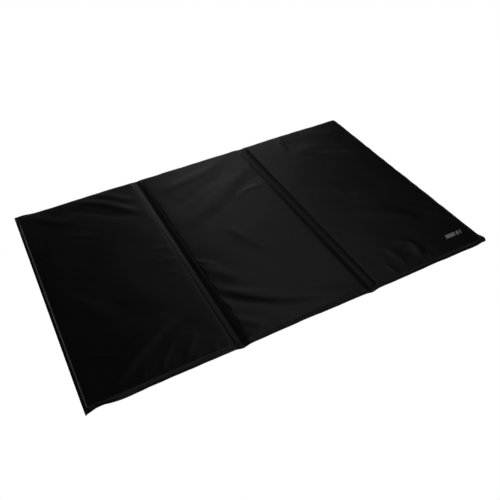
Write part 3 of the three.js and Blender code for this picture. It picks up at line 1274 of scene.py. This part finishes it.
@dataclass(frozen=True)
class Seams:
    """Every stitched row of the cover: round the flange, and two along each fold."""

    plan: MatPlan
    stitching: Stitching
    flange_inset: float = 6 * MM
    web_offset: float = 12 * MM
    clear_of_fold: float = 2.6 * MM
    row_points: int = 60
    blend_end: float = 11.0 * MM

    def build(self, material: Material) -> None:
        """Build and dress all rows, once with the needle thread and once with the bobbin thread."""
        for side, thread in ((Side.TOP, "needle"), (Side.BOTTOM, "bobbin")):
            self.build_flange_rows(side, thread, material)
            for fold in self.plan.folds:
                self.build_fold_rows(fold, side, thread, material)

    def finish_row(self, row: Piece, node: str, material: Material) -> None:
        """Give a row its material, hide its CAD node and log its face count."""
        dress(row, material, node)
        log.info("%s: %d faces", row.name, len(row.data.polygons))

    def build_flange_rows(self, side: Side, thread: str, material: Material) -> None:
        """Rows on the flange of each panel."""
        far_y = self.plan.far_y - self.flange_inset
        far_x = self.plan.far_x - self.flange_inset
        first, middle, last = self.plan.panels
        for panel, start, end in (
            (first, first.cover_x1 - self.clear_of_fold, -far_x),
            (last, last.cover_x0 + self.clear_of_fold, far_x),
        ):
            corners = np.array([(start, -far_y), (end, -far_y), (end, far_y), (start, far_y)])
            row = self.stitching.row(f"flange_{thread}_row_{panel.number}", corners, side)
            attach(row, panel.body)
            self.finish_row(row, f"flange_{thread}_thread_{panel.number}", material)
        ends = (middle.cover_x0 + self.clear_of_fold, middle.cover_x1 - self.clear_of_fold)
        for place, y in (("front", -far_y), ("back", far_y)):
            corners = np.array([(ends[0], y), (ends[1], y)])
            row = self.stitching.row(f"flange_{thread}_row_2_{place}", corners, side)
            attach(row, middle.body)
            self.finish_row(row, f"flange_{thread}_thread_2_{place}", material)

    def build_fold_rows(self, fold: Fold, side: Side, thread: str, material: Material) -> None:
        """The two rows along a fold, one on each half of the web."""
        far_y = self.plan.far_y - self.flange_inset
        for half, sign, body in (("left", -1, fold.left), ("right", 1, fold.right)):
            x = fold.x + sign * self.web_offset
            corners = np.array([(x, y) for y in np.linspace(-far_y, far_y, self.row_points)])
            row = self.stitching.row(f"fold_{fold.number}_{half}_{thread}_row", corners, side)
            bend_over_hinge(row)
            self.finish_row(row, f"fold_{fold.number}_{half}_{thread}_thread", material)


@dataclass(frozen=True)
class PrintedMark:
    """A generic leaning bar in three lengths, printed near a corner of the last panel."""

    form: CoverForm
    film: float = 0.12 * MM
    lean: float = 9 * MM
    lengths: tuple[float, ...] = (0.60, 0.16, 0.08)
    gap: float = 0.08
    seat: float = 0.02 * MM
    grid: tuple[int, int] = (24, 10)
    body: str = "panel_3"

    def build(self, material: Material) -> Piece:
        """Lay the film's bars on the top sheet.

        Each bar is a grid of shares along and up the mark. A place is the mark's low corner, plus
        its length times the share along, plus the lean times the share up.

        Args:
            material: The print's material.

        Returns:
            The mark as one piece.
        """
        low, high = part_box("printed_mark")
        length = high.x - low.x - self.lean
        bars = []
        start = 0.0
        for share in self.lengths:
            lines = np.linspace(start, start + share, self.grid[0]), np.linspace(0, 1, self.grid[1])
            along, up = np.meshgrid(*lines, indexing="ij")
            x = low.x + length * along + self.lean * up
            y = low.y + (high.y - low.y) * up
            surface = self.form.top(x, y)
            bars.append(shell("bar", x, y, surface + self.film, surface + self.seat))
            start += share + self.gap
        mark = join(bars, "printed_mark_film")
        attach(mark, self.body)
        dress(mark, material, "printed_mark")
        return mark


def join(pieces: list[Piece], name: str) -> Piece:
    """Join quad meshes at the origin into one piece.

    Args:
        pieces: The objects to join, which are removed.
        name: The joined piece's name.

    Returns:
        The joined piece.
    """
    points, quads, total = [], [], 0
    for piece in pieces:
        co = np.empty(len(piece.data.vertices) * 3, np.float32)
        corners = np.empty(len(piece.data.loops), np.int32)
        piece.data.vertices.foreach_get("co", co)
        piece.data.loops.foreach_get("vertex_index", corners)
        points.append(co.reshape(-1, 3))
        quads.append(corners.reshape(-1, 4) + total)
        total += len(points[-1])
        bpy.data.meshes.remove(piece.data)
    return quad_object(name, np.vstack(points), np.vstack(quads))


# ---- studio


@dataclass(frozen=True)
class StudioCamera:
    """The camera, by its place and its bearing, dip and roll in degrees."""

    place: tuple[float, float, float] = (-0.8834, -1.9022, 1.7994)
    bearing: float = 25.92
    dip: float = 42.39
    roll: float = -2.42
    lens: float = 42.79

    def build(self) -> None:
        """Make the scene's camera.

        Its axes are those of a level camera that looks along +Y, turned by the bearing about the
        upright, then by the dip about its own right, then by the roll about its line of sight.
        """
        bearing, dip, roll = (math.radians(a) for a in (self.bearing, self.dip, self.roll))
        turn = Matrix.Rotation(-bearing, 3, "Z") @ Matrix.Rotation(math.pi / 2 - dip, 3, "X")
        turn = turn @ Matrix.Rotation(roll, 3, "Z")
        data = bpy.data.cameras.new("studio_camera")
        data.lens = self.lens
        data.sensor_width = 36
        camera = bpy.data.objects.new("studio_camera", data)
        camera.matrix_world = Matrix.Translation(self.place) @ turn.to_4x4()
        bpy.context.scene.collection.objects.link(camera)
        bpy.context.scene.camera = camera


@dataclass(frozen=True)
class Softbox:
    """A rectangular light, by where it stands round the mat and how high, in degrees."""

    name: str
    bearing: float
    height: float
    distance: float
    width: float
    depth: float
    watts: float

    def build(self) -> None:
        """Make the light, facing the mat's middle."""
        bearing, height = math.radians(self.bearing), math.radians(self.height)
        out = math.cos(height)
        direction = Vector((math.sin(bearing) * out, math.cos(bearing) * out, math.sin(height)))
        data = bpy.data.lights.new(self.name, "AREA")
        data.shape = "RECTANGLE"
        data.size, data.size_y, data.energy = self.width, self.depth, self.watts
        light = bpy.data.objects.new(self.name, data)
        light.location = direction * self.distance
        light.rotation_euler = direction.to_track_quat("Z", "Y").to_euler()
        bpy.context.scene.collection.objects.link(light)


@dataclass(frozen=True)
class Studio:
    """A pale seamless studio: a bright backdrop, a pale floor and soft lights."""

    softboxes: tuple[Softbox, ...] = (
        Softbox("softbox_back_tall", 20, 24, 4.0, 1.4, 2.1, 3.9),
        Softbox("softbox_back_low", 0, 9, 4.0, 2.6, 0.7, 2.3),
        Softbox("softbox_left_low", -50, 12, 4.0, 1.8, 0.9, 2.4),
        Softbox("softbox_back_right_low", 33, 12, 4.0, 0.7, 0.4, 0.8),
        Softbox("softbox_back_high", 40, 52, 4.0, 1.4, 1.5, 2.5),
        Softbox("softbox_high_right", 70, 63, 4.0, 1.6, 0.9, 2.4),
        Softbox("softbox_front_high", 165, 58, 4.0, 1.3, 0.75, 9.0),
        Softbox("softbox_front", 205, 26, 4.2, 2.4, 1.2, 3.0),
        Softbox("softbox_right", 120, 30, 4.2, 2.0, 1.2, 2.5),
    )
    surroundings: float = 0.015
    floor_glow: float = 0.42
    floor_size: float = 8.0
    floor_drop: float = 0.2 * MM

    def build(self) -> None:
        """Make the surroundings, the floor, the lights and the camera."""
        self.build_world()
        self.build_floor()
        for softbox in self.softboxes:
            softbox.build()
        StudioCamera().build()
        scene = bpy.context.scene
        scene.view_settings.view_transform = "Standard"
        scene.view_settings.look = "None"

    def build_world(self) -> None:
        """Surroundings that look white behind the mat and light it only faintly."""
        world = bpy.data.worlds.new("pale_studio")
        bpy.context.scene.world = world
        world.use_nodes = True
        tree = world.node_tree
        background = tree.nodes["Background"]
        path = add_node(tree, "ShaderNodeLightPath")
        strength = remap(tree, path.outputs["Is Camera Ray"], 0.0, 1.0, self.surroundings, 1.0)
        background.inputs["Color"].default_value = (1.0, 1.0, 1.0, 1.0)
        tree.links.new(strength, background.inputs["Strength"])

    def build_floor(self) -> None:
        """A pale, faintly glowing floor, which lights the mat's sides and blends into the backdrop."""
        half = self.floor_size / 2
        corners = ((-half, -half), (half, -half), (half, half), (-half, half))
        points = np.array([(*corner, -self.floor_drop) for corner in corners])
        floor = quad_object("studio_floor", points, np.array([[0, 1, 2, 3]]))
        material, tree, shader = start_material("studio_pale_floor", 0.8)
        grain = add_node(tree, "ShaderNodeTexNoise", None, Scale=3.0, Detail=2.0)
        tone = mix_colors(tree, grain.outputs["Fac"], (0.80, 0.80, 0.80), (0.84, 0.84, 0.84))
        feed(shader, "Base Color", tone)
        shader.inputs["Emission Color"].default_value = (1.0, 1.0, 1.0, 1.0)
        shader.inputs["Emission Strength"].default_value = self.floor_glow
        floor.data.materials.append(material)
        floor.visible_camera = False


# ---- main


def main() -> None:
    """Build the mat's sub-assemblies in order, then the studio, and report each piece."""
    logging.basicConfig(level=logging.INFO, format="%(name)s %(message)s")
    plan = MatPlan.from_frame()
    form = CoverForm(plan)
    effects = SharedEffects(pebble_grain_group(), handling_wear_group())
    cover_material = CoatedFabric(effects).build()
    foam_material = FoamFinish(effects).build()
    for panel in plan.panels:
        slab = FoamSlab(plan, form).build(panel, foam_material)
        log.info("%s: %d faces", slab.name, len(slab.data.polygons))
    Cover(plan, form).build(cover_material)
    Seams(plan, Stitching(form)).build(ThreadFinish(effects).build())
    PrintedMark(form).build(PrintFinish(effects).build())
    Studio().build()


if __name__ == "__main__":
    main()
